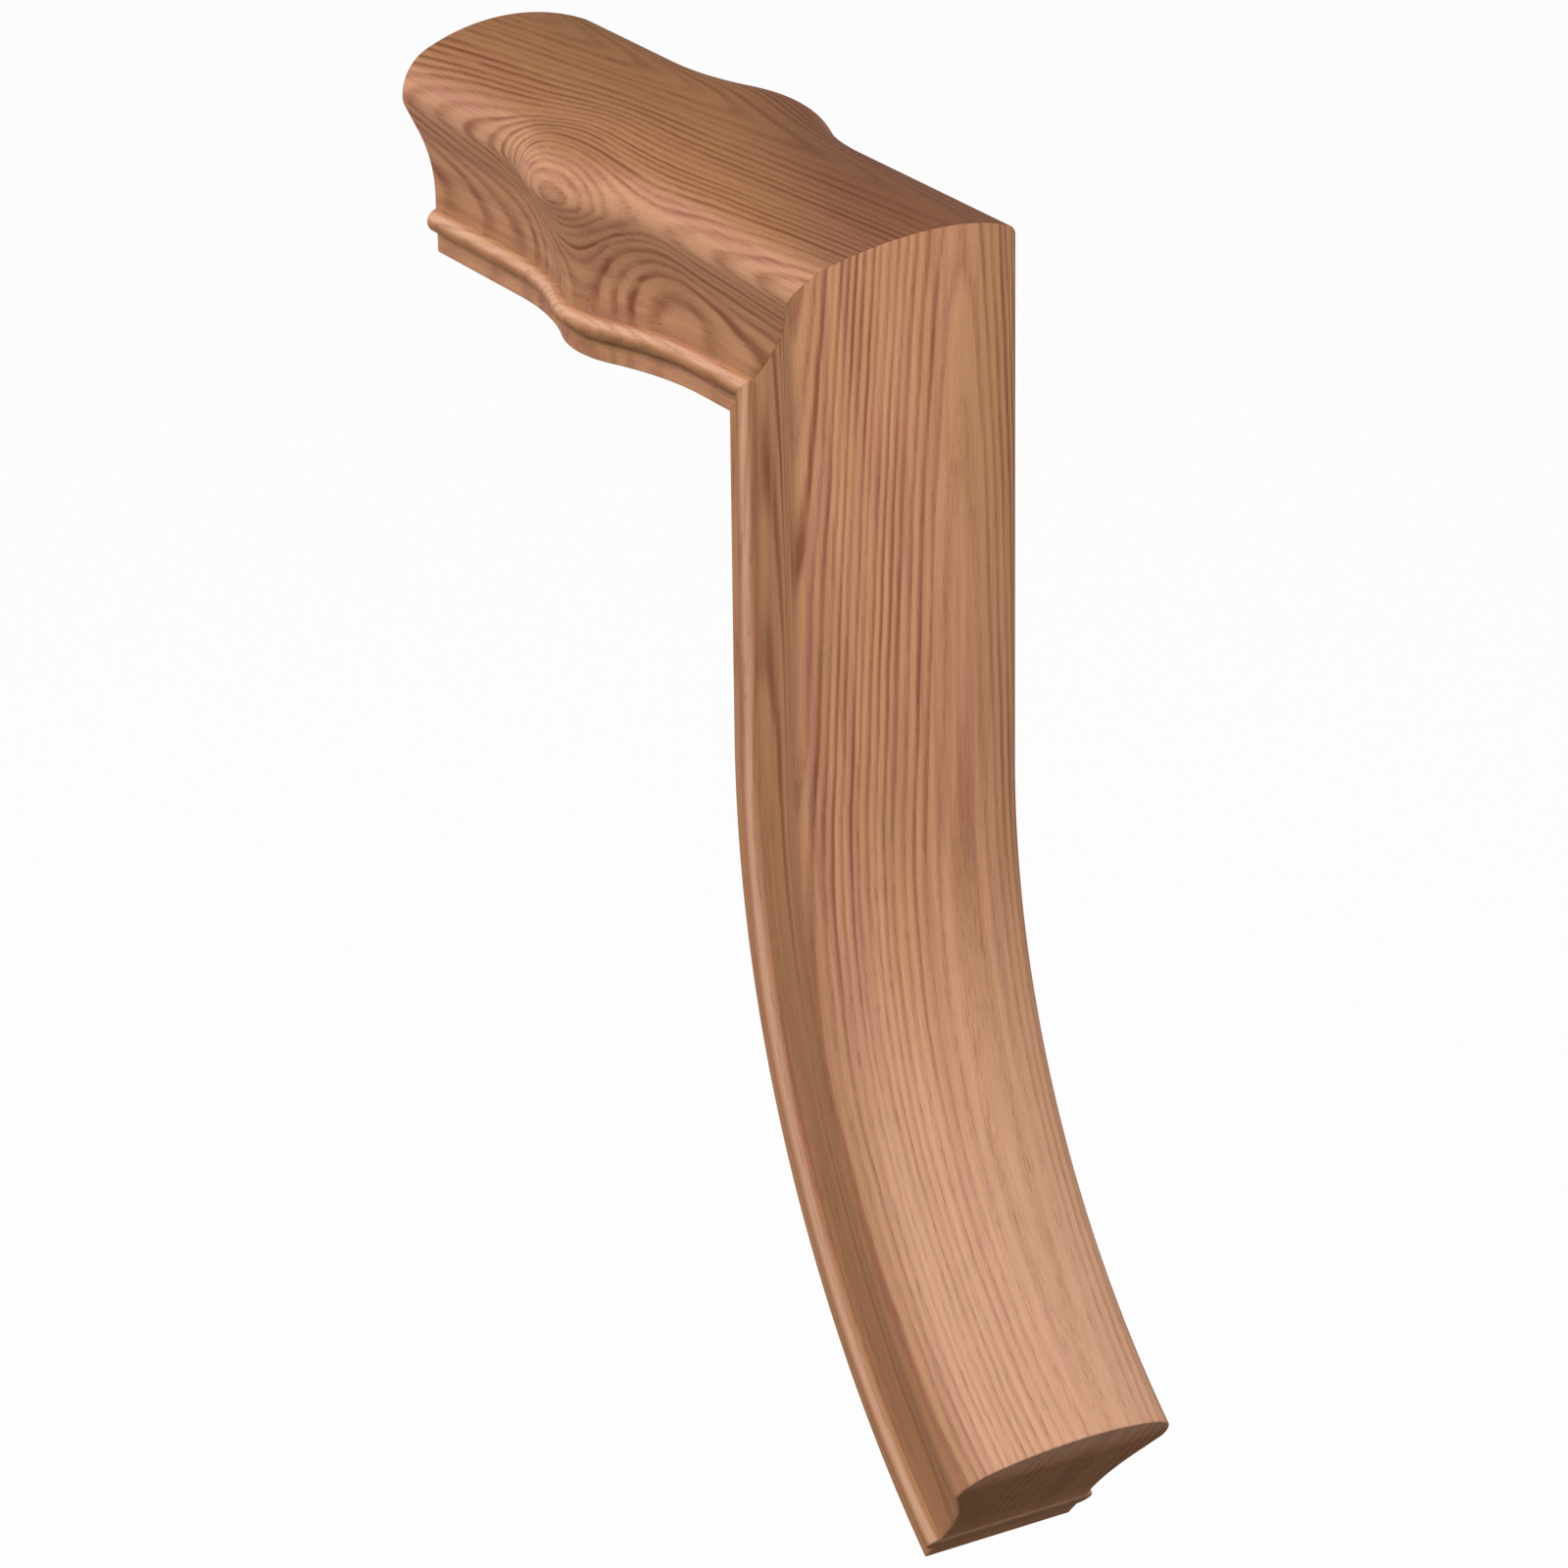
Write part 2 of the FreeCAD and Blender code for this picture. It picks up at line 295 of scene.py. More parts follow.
def level_half():
    """Half rings of the level rail at its stations, from the middle of the base out, up one side and back
    over the crown: the base and the crown lie straight across, and the side is the outline moved in along
    its normal."""
    plan, normal = cap_plan()
    side = side_outline()
    inset = HALF_WIDTH - side[:, 0]
    walls = plan[:, None, :] + normal[:, None, :] * inset[None, :, None]
    depth = np.broadcast_to(side[:, 1], walls.shape[:2])
    inner = np.broadcast_to(spread(BORE_PATCH, BORE_STEPS), (len(plan), (BORE_STEPS + 1) // 2))
    share = np.linspace(0, 1, BASE_STEPS + 1)[1:-1]
    outer = BORE_PATCH + share[None, :] * (walls[:, :1, 1] - BORE_PATCH)
    base_y = np.concatenate([inner, outer], axis=1)
    base_x = np.broadcast_to(walls[:, :1, 0], base_y.shape)
    crown_y = walls[:, -1:, 1] * spread(1.0, CROWN_STEPS)[-2::-1]
    crown_x = np.broadcast_to(walls[:, -1:, 0], crown_y.shape)
    x = np.concatenate([base_x, walls[:, :, 0], crown_x], axis=1)
    y = np.concatenate([base_y, walls[:, :, 1], crown_y], axis=1)
    down = np.concatenate([0 * base_y + RAIL_HEIGHT, depth, crown_depth(crown_x, crown_y)], axis=1)
    return np.stack([x, y, RAIL_HEIGHT - down], axis=2)


def whole_ring(half):
    """Closes half rings with their mirror images across the middle plane, so that point i faces -1 - i."""
    return np.concatenate([half, half[:, ::-1] * (1, -1, 1)], axis=1)


def inward(ring, reach):
    """Moves a closed ring of (across, height) points inwards by reach, square to the line through each
    point's neighbours."""
    chord = np.roll(ring, -1, axis=0) - np.roll(ring, 1, axis=0)
    chord /= np.linalg.norm(chord, axis=1, keepdims=True)
    return ring + reach * np.stack([-chord[:, 1], chord[:, 0]], axis=1)


def rounded_end(ring, radius, steps=3):
    """The rings of a quarter round that eases an end: for each, how far back from the end it lies and its
    points. The back and the inset are radius (1 - sin t) and radius (1 - cos t), from the end's face to the
    full section."""
    turn = np.linspace(QUARTER, 0, steps + 1)
    back = radius * (1 - np.sin(turn))
    rings = np.stack([inward(ring, radius * (1 - math.cos(t))) for t in turn])
    return back, rings


def tube_faces(stations, count):
    """Quads of a closed tube of rings, and for each corner its place round the ring, unwrapped."""
    j, i = np.meshgrid(np.arange(stations - 1), np.arange(count), indexing="ij")
    station = np.stack([j, j, j + 1, j + 1], axis=-1).reshape(-1, 4)
    around = np.stack([i, i + 1, i + 1, i], axis=-1).reshape(-1, 4)
    return station * count + around % count, around


def end_faces(first_point, count, flip):
    """Quads that fill an end like a ladder, each between two neighbours on one side and their mirror
    images."""
    i = np.arange(count // 2 - 1)
    quads = first_point + np.stack([i, i + 1, count - 2 - i, count - 1 - i], axis=1)
    return quads[:, ::-1] if flip else quads


def girth(ring):
    """Distance round a ring from its first point, with the closing step at the end."""
    step = np.linalg.norm(np.roll(ring, -1, axis=0) - ring, axis=1)
    return np.concatenate([[0.0], np.cumsum(step)])


def pin_bore(square):
    """The mouth, wall and bottom of the pin bore, as rings from the square in the base's grid inwards. Each
    ring follows the square's points: it goes over from the square to the circle, up the bore and in to the
    middle."""
    turn = np.arctan2(square[:, 1], square[:, 0])
    circle = np.stack([np.cos(turn), np.sin(turn), 0 * turn], axis=1)
    mouth = circle * (PIN_BORE_RADIUS + MOUTH_BEVEL)
    share = np.linspace(0, 1, MOUTH_RINGS + 1)[1:, None, None]
    flat = square * (1 - share) + mouth * share
    height = np.linspace(MOUTH_BEVEL, PIN_BORE_DEPTH, WALL_RINGS)[:, None, None]
    wall = circle * PIN_BORE_RADIUS + height * (0, 0, 1)
    reach = np.linspace(*BOTTOM_REACH, BOTTOM_RINGS)[:, None, None]
    bottom = circle * PIN_BORE_RADIUS * reach + (0, 0, PIN_BORE_DEPTH)
    return flat, wall, bottom


def write_piece(name, points, grain, groups, finish):
    """Makes the piece's object. Each group of faces has its corners, its flat layout in millimetres, the
    corner of the bake sheet that the layout starts from, and how much it is cut across the grain. One scale
    fits the sheet to all."""
    faces = [row for corners, _, _, _ in groups for row in corners.tolist()]
    layouts = [flat - flat.reshape(-1, 2).min(axis=0) + start for _, flat, start, _ in groups]
    sheet = np.concatenate([flat.reshape(-1, 2) for flat in layouts])
    sheet = sheet / (sheet.max() + SHEET_EDGE)
    ends = np.concatenate([np.full(len(corners), end) for corners, _, _, end in groups])
    mesh = bpy.data.meshes.new(name)
    mesh.from_pydata((points / MM_PER_METRE).tolist(), [], faces)
    mesh.uv_layers.new(name="OFBake").data.foreach_set("uv", sheet.ravel())
    mesh.attributes.new("grain", "FLOAT_VECTOR", "POINT").data.foreach_set("vector", grain.ravel())
    mesh.attributes.new("end_grain", "FLOAT", "FACE").data.foreach_set("value", ends)
    mesh.polygons.foreach_set("use_smooth", np.ones(len(faces), dtype=bool))
    mesh.set_sharp_from_angle(angle=SHARP_ANGLE)
    mesh.materials.append(finish)
    piece = bpy.data.objects.new(name, mesh)
    bpy.context.collection.objects.link(piece)
    return piece


# Red oak, sanded and uncoated, with the share that each colour has where it is strongest
OAK_PALE = (0.540, 0.266, 0.146)
OAK_TAN = (0.450, 0.237, 0.103)
OAK_ROSE = (0.440, 0.188, 0.120)
# The blond below also paints the sheen on the shoulder and the highlight along the bead, and the brown
# paints the shade in the cove and about the bead
OAK_BLOND_AND_SHEEN = (0.660, 0.390, 0.265)
OAK_BROWN_AND_SHADE = (0.262, 0.116, 0.045)
OAK_PORE = (0.150, 0.058, 0.028)
# Painted shade, darker and a little redder, on the level's top toward the far corner at the mitre
MITRE_SHADE_TINT = (0.725, 0.665, 0.930)
LINE_STAIN = (0.530, 0.390, 0.365)
TAN_SHARE = 0.5
ROSE_SHARE = 0.85
PORE_SHARE = 0.27
BEAD_HIGHLIGHT_SHARE = 0.75        # of blond colour in the painted highlight along the bead
UNDER_BEAD_SHADE_SHARE = 0.60  # of brown as painted shade below that line
OVER_BEAD_SHADE_SHARE = 0.30   # and as painted shade above it
END_SHADE = 0.56         # of a face cut square across the grain: end grain's own darkness, deepened by painted shade on the sawn ends
OAK_ROUGHNESS = 0.72
OPEN_ROUGHNESS = 0.25    # added in pores and on end grain
OAK_SHINE = 0.06         # specular level of sanded, uncoated wood
OAK_RELIEF = 0.00012     # metres
FIBRE_RELIEF = 0.35      # height of the fibres against the pores' depth

# Growth layers, in millimetres of reach from the heart of the tree
HEART_REACH = 8.0        # half the width of the quiet wood about the heart
LAYER_CUP = 0.0005       # how the layers cup towards the middle of the depth, per millimetre
WIDE_LAYERS = 0.28       # layers to a millimetre near the heart
NARROWING = 0.005        # and how they crowd further out
NARROW_FROM = 12.8
WANDER_REACH = 2.4       # sway of the layers by the slow wave
RIPPLE_REACH = 0.5       # and by the quick one
UNEVEN_SCALE = 0.21
UNEVEN_LAYERS = 0.6
LINE_LEAST = 0.42        # strength of the faintest layer's line
LINE_HABIT = 0.80        # and how much more the darkest has
LINE_RISE, LINE_FALL = (0.0, 0.28), (0.30, 0.80)    # parts of a layer over which its line comes and goes

# The lines' strength by noise or place, each as low and high value, and the strength at both
LINES_BY_FADING = (0.35, 0.65, 0.55, 1.15)
LINES_BY_HEART = (HEART_REACH, 24.0, 0.58, 1.05)
LINES_BY_LENGTH = (120.0, 260.0, 1.0, 0.44)
LINES_BY_DEPTH = (46.0, 53.0, 1.0, 0.35)
SHOULDER_LOSS = 0.5      # of line strength, for each share of painted sheen on the shoulder

# Lumps to a millimetre along the grain and in the two directions across it
WANDER_STRETCH = (0.010, 0.020, 0.020)
RIPPLE_STRETCH = (0.050, 0.160, 0.160)
FADING_STRETCH = (0.014, 0.22, 0.22)
PATCH_STRETCH = (0.012, 0.09, 0.09)
STREAK_STRETCH = (0.010, 0.30, 0.30)
FIBRE_STRETCH = (0.06, 3.6, 3.6)
PORE_STRETCH = (0.16, 2.9, 2.9)
# Shifts in lumps, so that these don't lie over each other
FADING_SHIFT = (3.0, 8.0, 2.0)
PATCH_SHIFT = (7.0, 3.0, 1.0)
STREAK_SHIFT = (2.0, 9.0, 5.0)
PORE_SHIFT = (4.0, 4.0, 4.0)
# The noise at their edges, and what fibres do to the shade
PATCH_EDGE = (0.35, 0.65)
STREAK_EDGE = (0.44, 0.68)
PORE_EDGE = (0.56, 0.66)
FIBRE_SHADE = (0.25, 0.75, 0.84, 1.05)
LATE_PORES = 0.12        # pores outside the dark lines, against those in them

# Colours by their place along and across the level rail, or along the drop. On the level's top the brown is
# partly painted shade and the tint toward the mitre is painted shade, and down the easing the blond is
# partly painted sheen.
HEARTWOOD_AND_SHADE_ACROSS = (-32.0, 18.0, 0.64, 1.0)
HEARTWOOD_AND_SHADE_ALONG = (10.0, 120.0, 1.0, 1.3)
MITRE_SHADE_SKEW = 2.0        # how much more a place across counts than one along, for the painted shade toward the mitre
MITRE_SHADE_EDGE = (10.0, 95.0)
SAPWOOD_AND_SHEEN_ALONG = (150.0, 320.0)

# Stretches of depth below the crown's highest line over which the wood's colour goes over, and over which
# the painted sheen on the shoulder, the painted shade in the cove and about the bead, and the painted
# highlight on the bead come and go
CROWN_EDGE = (5.0, 12.0)
SAPWOOD_AND_SHEEN_EDGE = (4.0, 16.0)
SHOULDER_RISE, SHOULDER_FALL = (4.0, 11.0), (17.0, 25.0)
COVE_RISE, COVE_FALL = (13.0, 19.0), (44.0, 52.0)
OVER_BEAD_RISE, OVER_BEAD_FALL = (46.0, 50.0), (52.0, 53.0)
BEAD_RISE, BEAD_FALL = (52.5, 53.3), (54.0, 55.2)
UNDER_BEAD_RISE, UNDER_BEAD_FALL = (54.8, 56.4), (58.5, 60.5)

LEVEL_PLANK = {
    "heart": 8.0,                 # place of the heart across the rail
    "bow": -0.000205,             # how the layers bow along the grain, per millimetre
    "middle": 226.0,              # place along the grain where they don't
    "crowding": 1.35,             # number of layers against that in the drop's plank
    "first": 1.45,                # layers at which the count starts
    "lines": 0.78,                # strength of the layers' dark lines
    "brown": 0.88,                # share of brown on the crown, partly heartwood and partly painted shade on the level's top
    "shoulder": 0.14,             # share of blond as painted sheen on the shoulder
    "cove": 0.16,                 # share of brown as painted shade from under the shoulder to the cove
    "blond": 0.0,                 # share of blond on the crown down the easing, partly sapwood and partly painted sheen
    "shift": (31.0, 17.0, 5.0),   # where in the log it was cut
}


def reckon(tree, operation, first, second=0.0):
    """One step of arithmetic between two numbers or sockets."""
    return node(tree, "Math", {"operation": operation}, {0: first, 1: second}).outputs[0]


def product(tree, *factors):
    """Several numbers or sockets multiplied in turn."""
    result = factors[0]
    for factor in factors[1:]:
        result = reckon(tree, "MULTIPLY", result, factor)
    return result


def total(tree, *terms):
    """Several numbers or sockets added in turn."""
    result = terms[0]
    for term in terms[1:]:
        result = reckon(tree, "ADD", result, term)
    return result


def band(tree, factor, rise, fall, share=1.0, after=0.0):
    """Goes up from 0 to share over the stretch rise, and on to after over the stretch fall."""
    return product(tree, ramp(tree, factor, *rise), ramp(tree, factor, *fall, share, after))


def growth_layers(tree, place, along, across, depth, plank):
    """The count of growth layers at a place, and its distance from the heart. The distance is the root of
    (across from the heart) squared plus HEART_REACH squared. The reach adds a bow along the grain, a cup
    over the depth and two waves. The count grows evenly with the reach, and past NARROW_FROM also with its
    square, with a little unevenness."""
    off_middle = reckon(tree, "SUBTRACT", along, plank["middle"])
    off_heart = reckon(tree, "SUBTRACT", across, plank["heart"])
    off_core = reckon(tree, "SUBTRACT", depth, RAIL_HEIGHT / 2)
    away = reckon(tree, "SQRT", total(tree, product(tree, off_heart, off_heart), HEART_REACH**2))
    bowed = product(tree, off_middle, off_middle, plank["bow"])
    cupped = product(tree, off_core, off_core, LAYER_CUP)
    wander = cloud(tree, stretch(tree, place, WANDER_STRETCH), detail=1.0)
    ripple = cloud(tree, stretch(tree, place, RIPPLE_STRETCH), detail=1.0)
    wander = product(tree, wander, WANDER_REACH)
    ripple = product(tree, ripple, RIPPLE_REACH)
    reach = total(tree, away, total(tree, bowed, cupped), wander, ripple)
    outer = reckon(tree, "MAXIMUM", reckon(tree, "SUBTRACT", reach, NARROW_FROM), 0.0)
    outer = product(tree, outer, outer, NARROWING)
    inputs = {"W": reach, "Scale": UNEVEN_SCALE, "Detail": 1.0}
    uneven = node(tree, "TexNoise", {"noise_dimensions": "1D"}, inputs).outputs[0]
    layers = total(tree, product(tree, reach, WIDE_LAYERS), outer, product(tree, uneven, UNEVEN_LAYERS))
    return total(tree, product(tree, layers, plank["crowding"]), plank["first"]), away


def red_oak(name, plank):
    """Sawn red oak from the piece's own grain places (along, across, depth). Each growth layer has one dark
    soft line, of its own strength, that stains the wood. The wood under the lines is pale, with tan
    patches and rosy streaks. Blond down the easing is partly sapwood and partly painted sheen, and brown on
    the level's top is partly heartwood and partly painted shade, with more painted shade toward the mitre.
    A painted sheen lies on the shoulder, a painted highlight along the bead, and painted shade in the cove
    and above and below the bead, by stretches of depth and the plank's shares. Fibres and pores run along
    the grain, and end grain is darker, deepened by painted shade."""
    material, tree = bare_material(name)
    grain = node(tree, "Attribute", {"attribute_name": "grain"}, {}).outputs["Vector"]
    ends = node(tree, "Attribute", {"attribute_name": "end_grain"}, {}).outputs["Fac"]
    place = stretch(tree, grain, (1.0, 1.0, 1.0), plank["shift"])
    along, across, depth = node(tree, "SeparateXYZ", {}, {0: grain}).outputs
    layers, away = growth_layers(tree, place, along, across, depth, plank)
    season = reckon(tree, "FRACT", layers)
    early = band(tree, season, LINE_RISE, LINE_FALL)

    year = reckon(tree, "FLOOR", layers)
    habit = node(tree, "TexWhiteNoise", {"noise_dimensions": "1D"}, {"W": year}).outputs["Value"]
    fading = cloud(tree, stretch(tree, place, FADING_STRETCH, FADING_SHIFT), detail=1.0)
    # Painted sheen: blond on the shoulder, where the lines also grow fainter
    shoulder_sheen = band(tree, depth, SHOULDER_RISE, SHOULDER_FALL, plank["shoulder"])
    dark = product(
        tree,
        total(tree, product(tree, habit, LINE_HABIT), LINE_LEAST),
        ramp(tree, fading, *LINES_BY_FADING),
        ramp(tree, away, *LINES_BY_HEART),
        ramp(tree, along, *LINES_BY_LENGTH),
        ramp(tree, depth, *LINES_BY_DEPTH),
        reckon(tree, "SUBTRACT", plank["lines"], product(tree, shoulder_sheen, SHOULDER_LOSS)),
        early,
    )

    patches = cloud(tree, stretch(tree, place, PATCH_STRETCH, PATCH_SHIFT), detail=2.0)
    streaks = cloud(tree, stretch(tree, place, STREAK_STRETCH, STREAK_SHIFT), detail=3.0)
    # Blond on the crown toward the sawn end of the easing: partly sapwood, partly painted sheen
    sapwood_and_sheen = product(
        tree,
        ramp(tree, depth, *SAPWOOD_AND_SHEEN_EDGE, plank["blond"], 0.0),
        ramp(tree, along, *SAPWOOD_AND_SHEEN_ALONG),
    )
    on_crown = ramp(tree, depth, *CROWN_EDGE, plank["brown"], 0.0)
    # Brown on the level's top, darker toward the far side and the mitre: partly heartwood, partly painted
    # shade
    heartwood_and_shade = product(
        tree,
        on_crown,
        ramp(tree, across, *HEARTWOOD_AND_SHADE_ACROSS),
        ramp(tree, along, *HEARTWOOD_AND_SHADE_ALONG),
    )
    # Painted shade: brown from under the shoulder down the cove
    cove_shade = band(tree, depth, COVE_RISE, COVE_FALL, plank["cove"])
    # Painted shade: brown under the bead that thins out onto the base, and brown in the groove above the
    # bead
    base_shade = UNDER_BEAD_SHADE_SHARE * plank["cove"]
    under_bead_shade = band(tree, depth, UNDER_BEAD_RISE, UNDER_BEAD_FALL, UNDER_BEAD_SHADE_SHARE, base_shade)
    over_bead_shade = band(tree, depth, OVER_BEAD_RISE, OVER_BEAD_FALL, OVER_BEAD_SHADE_SHARE)
    # Painted highlight: a thin pale line of blond colour along the bead's upper side
    bead_highlight = band(tree, depth, BEAD_RISE, BEAD_FALL, BEAD_HIGHLIGHT_SHARE)
    # Painted shade on the crown toward the mitre's far corner
    mitre_shade = ramp(tree, total(tree, product(tree, across, MITRE_SHADE_SKEW), along), *MITRE_SHADE_EDGE)
    wood = blend(tree, ramp(tree, patches, *PATCH_EDGE, end=TAN_SHARE), opaque(OAK_PALE), opaque(OAK_TAN))
    wood = blend(tree, ramp(tree, streaks, *STREAK_EDGE, end=ROSE_SHARE), wood, opaque(OAK_ROSE))
    # Blond: sapwood with painted sheen down the easing, and the painted sheen on the shoulder
    wood = blend(tree, total(tree, sapwood_and_sheen, shoulder_sheen), wood, opaque(OAK_BLOND_AND_SHEEN))
    # Brown: heartwood with painted shade on the top, and painted shade in the cove and about the bead
    wood = blend(tree, total(tree, heartwood_and_shade, cove_shade, under_bead_shade, over_bead_shade), wood, opaque(OAK_BROWN_AND_SHADE))
    wood = blend(tree, product(tree, on_crown, mitre_shade), wood, opaque(MITRE_SHADE_TINT), "MULTIPLY")
    # The painted highlight along the bead
    wood = blend(tree, bead_highlight, wood, opaque(OAK_BLOND_AND_SHEEN))
    wood = blend(tree, dark, wood, opaque(LINE_STAIN), "MULTIPLY")

    fibres = cloud(tree, stretch(tree, place, FIBRE_STRETCH), detail=3.0, roughness=0.6)
    pores = cloud(tree, stretch(tree, place, PORE_STRETCH, PORE_SHIFT), detail=1.0)
    pores = product(tree, ramp(tree, pores, *PORE_EDGE), total(tree, early, LATE_PORES))
    wood = blend(tree, product(tree, pores, PORE_SHARE), wood, opaque(OAK_PORE))
    shade = ramp(tree, fibres, *FIBRE_SHADE)
    # End grain is darker, and deepened further by painted shade
    shade = product(tree, shade, ramp(tree, ends, 0.0, 1.0, start=1.0, end=END_SHADE))
    wood = node(tree, "VectorMath", {"operation": "SCALE"}, {0: wood, "Scale": shade}).outputs[0]
    height = reckon(tree, "SUBTRACT", product(tree, fibres, FIBRE_RELIEF), pores)
    relief = node(tree, "Bump", {}, {"Strength": 0.5, "Distance": OAK_RELIEF, "Height": height}).outputs[0]
    rough = total(tree, product(tree, pores, OPEN_ROUGHNESS), OAK_ROUGHNESS)
    rough = total(tree, rough, product(tree, ends, OPEN_ROUGHNESS))
    inputs = {"Base Color": wood, "Roughness": rough, "Normal": relief, "Specular IOR Level": OAK_SHINE}
    surface = node(tree, "BsdfPrincipled", {}, inputs).outputs[0]
    node(tree, "OutputMaterial", {}, {"Surface": surface})
    return material


def cap_rail():
    """The level rail's mesh: its rings from the sawn end to the mitre, where x is DROP_BACK plus the
    height, its two ends and the pin bore."""
    rings = whole_ring(level_half())
    count = rings.shape[1]
    back, eased = rounded_end(rings[0, :, 1:], END_ARRIS)
    far_x = np.repeat(RAIL_END + back[:-1], count).reshape(-1, count, 1)
    far = np.concatenate([far_x, eased[:-1]], axis=2)
    section = rings[-1, :, 1:]
    share = np.linspace(0, 1, MITRE_STATIONS)[1:, None]
    reach = DROP_BACK + section[:, 1] - GLUE_LINE
    run = HOLLOW_ALONG + share * (reach - HOLLOW_ALONG)
    straight = np.concatenate([run[:, :, None], np.broadcast_to(section, (len(run), count, 2))], axis=2)
    tip = inward(section, GLUE_LINE)
    face = np.stack([DROP_BACK + tip[:, 1], tip[:, 0], tip[:, 1]], axis=1)[None]
    rings = np.concatenate([far, rings, straight, face])
    points = rings.reshape(-1, 3)

    quads, around = tube_faces(len(rings), count)
    half = (BORE_STEPS + 1) // 2
    middle = points[quads].mean(axis=1)
    over_bore = (np.abs(middle[:, :2]) < BORE_PATCH).all(axis=1) & (middle[:, 2] < BASE_ARRIS / 2)
    first = int(np.argmin(np.abs(rings[:, 0, 0] + BORE_PATCH)))
    side = np.arange(first, first + BORE_STEPS + 1) * count
    row = np.concatenate([np.arange(count - half, count), np.arange(half)])
    near_sides = [side[0] + row[::-1][:-1], side[:-1] + row[0]]
    far_sides = [side[-1] + row[:-1], side[::-1][:-1] + row[-1]]
    edge = np.concatenate(near_sides + far_sides)
    flat, wall, bottom = pin_bore(points[edge])
    bore = np.concatenate([flat, wall, bottom]).reshape(-1, 3)
    size = len(edge)
    loops = np.concatenate([edge, len(points) + np.arange(len(bore))]).reshape(-1, size)
    k, m = np.meshgrid(np.arange(len(loops) - 1), np.arange(size), indexing="ij")
    after = (m + 1) % size
    strip = np.stack([loops[k, m], loops[k + 1, m], loops[k + 1, after], loops[k, after]], axis=-1)
    spot = np.array([[0.0, 0.0, PIN_BORE_DEPTH]])
    points = np.concatenate([points, bore, spot])
    last = loops[-1]
    fan = np.stack([last, np.full(size, len(points) - 1), np.roll(last, -1)], axis=1)
    wall_first = len(flat)
    wall_last = len(flat) + len(wall)

    around_length = girth(rings[len(back), :, 1:])
    tube = quads[~over_bore]
    tube_flat = np.stack([around_length[around[~over_bore]], points[tube][:, :, 0]], axis=-1)
    far_end = end_faces(0, count, True)
    mitre = end_faces((len(rings) - 1) * count, count, False)
    wide = around_length[-1] + 2 * SHEET_EDGE
    wall_quads = strip[wall_first:wall_last].reshape(-1, 4)
    wall_around = np.stack([m, m, m + 1, m + 1], axis=-1)[wall_first:wall_last].reshape(-1, 4)
    wall_along = wall_around * 2 * math.pi * PIN_BORE_RADIUS / size
    wall_flat = np.stack([wall_along, points[wall_quads][:, :, 2]], axis=-1)
    mouth = strip[:wall_first].reshape(-1, 4)
    floor = strip[wall_last:].reshape(-1, 4)
    groups = [
        (tube, tube_flat, (0.0, 0.0), LONG_GRAIN),
        (far_end, points[far_end][:, :, 1:], (wide, 0.0), END_GRAIN),
        (mitre, points[mitre][:, :, 1:] * (1, math.sqrt(2)), (wide, MITRE_ROW), MITRE_GRAIN),
        (mouth, points[mouth][:, :, :2], (wide, BORE_ROW), LONG_GRAIN),
        (wall_quads, wall_flat, (wide, WALL_ROW), BORE_GRAIN),
        (floor, points[floor][:, :, :2], (wide + BOTTOM_COLUMN, BORE_ROW), LONG_GRAIN),
        (fan, points[fan][:, :, :2], (wide + MIDDLE_COLUMN, BORE_ROW), LONG_GRAIN),
    ]
    grain = points * (1, 1, -1) + (0, 0, RAIL_HEIGHT)
    return write_piece("cap_rail_oak", points, grain, groups, red_oak("red_oak_level", LEVEL_PLANK))


level = cap_rail()
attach(level, "root")
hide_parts("cap_rail")

# Drop and easing
# The same moulding shaped from a plank of red oak and mitred under the level rail: it falls straight,
# then curves into the stair's rake with its grain lines along it. Glue and dowels hold the mitre.
DROP_RUN = 93.3
EASING_RADIUS = 213.0
RAKE_ANGLE = math.radians(41.65)
EASING_TURN = QUARTER - RAKE_ANGLE
DROP_STATIONS = 70
EASING_STATIONS = 120
FLAT_STEPS = 41          # across the base
RAKE_ROW = 100.0         # place of the sawn end on the bake sheet
DROP_PLANK = {
    "heart": 8.0,
    "bow": 0.00012,
    "middle": 260.0,
    "crowding": 1.0,
    "first": 0.0,
    "lines": 0.90,
    "brown": 0.0,
    "shoulder": 0.0,
    # painted shade in the cove and about the bead
    "cove": 0.58,
    # blond down the easing, partly sapwood and partly painted sheen
    "blond": 0.55,
    "shift": (211.0, 83.0, 47.0),
}


def rail_ring():
    """The whole section as a closed ring of (across, depth) points, from the middle of the base round."""
    side = side_outline()
    base = spread(side[0, 0], FLAT_STEPS)[:-1]
    crown = side[-1, 0] * spread(1.0, CROWN_STEPS)[-2::-1]
    crown = np.stack([crown, CROWN_RADIUS - np.sqrt(CROWN_RADIUS**2 - crown**2)], axis=1)
    half = np.concatenate([np.stack([base, 0 * base + RAIL_HEIGHT], axis=1), side, crown])
    return np.concatenate([half, half[::-1] * (-1, 1)])


